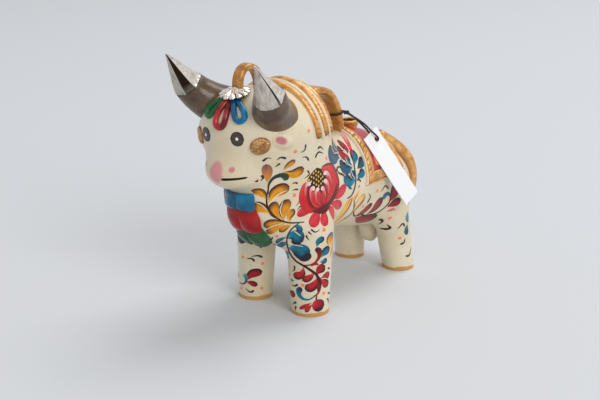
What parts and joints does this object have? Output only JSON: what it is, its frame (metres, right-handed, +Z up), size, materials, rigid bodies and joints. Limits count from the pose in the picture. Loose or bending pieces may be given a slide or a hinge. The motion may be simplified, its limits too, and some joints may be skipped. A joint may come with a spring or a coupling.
{
  "type": "bull figurine",
  "caption": "Hollow hand-built ceramic folk bull with painted flowers, luted straps, saddle cloth, ribbons and handles, metal horn tips, a spout on the back and a hanging card tag.",
  "frame": {"origin": "centre of the figurine's box over the ground plane, tag and cord left out", "axes": "+Z up, the bull faces -Y, +X is the bull's left side"},
  "size_m": [0.0804, 0.1914, 0.1612],
  "materials": {
    "clay_cream": "satin cream slip with painted flowers",
    "clay_gold": "metallic gold-ochre paint on clay, darker in the hollows",
    "saddle_red": "painted red with flowers",
    "ribbon_green": "glossy green paint",
    "ribbon_red": "glossy red paint",
    "ribbon_blue": "glossy blue paint",
    "dewlap_blue": "glossy blue paint, lighter on the swell",
    "dewlap_red": "glossy red paint, lighter on the swell",
    "dewlap_green": "satin green paint",
    "horn_glaze": "polished grey-brown glaze",
    "silver": "thin pressed white metal, creased",
    "cord": "thin black waxed cord",
    "card": "matt white card"
  },
  "bodies": {
    "bull": {"torso": "clay_cream", "head": "clay_cream", "leg_front_left": "clay_cream", "leg_front_right": "clay_cream", "leg_rear_left": "clay_cream", "leg_rear_right": "clay_cream", "belly_boss": "clay_cream", "ear_left": "clay_cream", "ear_right": "clay_cream", "cheek_medallion_left": "clay_gold", "cheek_medallion_right": "clay_gold", "forehead_ribbon_green": "ribbon_green", "forehead_ribbon_red": "ribbon_red", "forehead_ribbon_blue": "ribbon_blue", "rosette": "silver", "forehead_handle": "clay_gold", "back_handle": "clay_gold", "spout_collar": "clay_gold", "neck_strap_front": "clay_gold", "neck_strap_middle": "clay_gold", "neck_strap_rear": "clay_gold", "neck_rib_front": "clay_cream", "neck_rib_rear": "clay_cream", "saddle_field": "saddle_red", "saddle_border": "clay_gold", "tail": "clay_gold", "dewlap_blue_left": "dewlap_blue", "dewlap_blue_right": "dewlap_blue", "dewlap_red_left": "dewlap_red", "dewlap_red_right": "dewlap_red", "dewlap_green_left": "dewlap_green", "dewlap_green_right": "dewlap_green", "horn_left": "horn_glaze", "horn_right": "horn_glaze", "horn_tip_left": "silver", "horn_tip_right": "silver", "tag_cord_wrap": "cord", "tag_knot": "cord"},
    "hang_tag": {"tag_cord": "cord", "tag": "card"}
  },
  "joints": [
    {"name": "tag_swing", "type": "hinge", "parent": "bull", "child": "hang_tag", "pos_m": [0.0089, 0.0208, 0.1126], "axis": [0, -1, 0], "range_deg": [0, 85]}
  ]
}
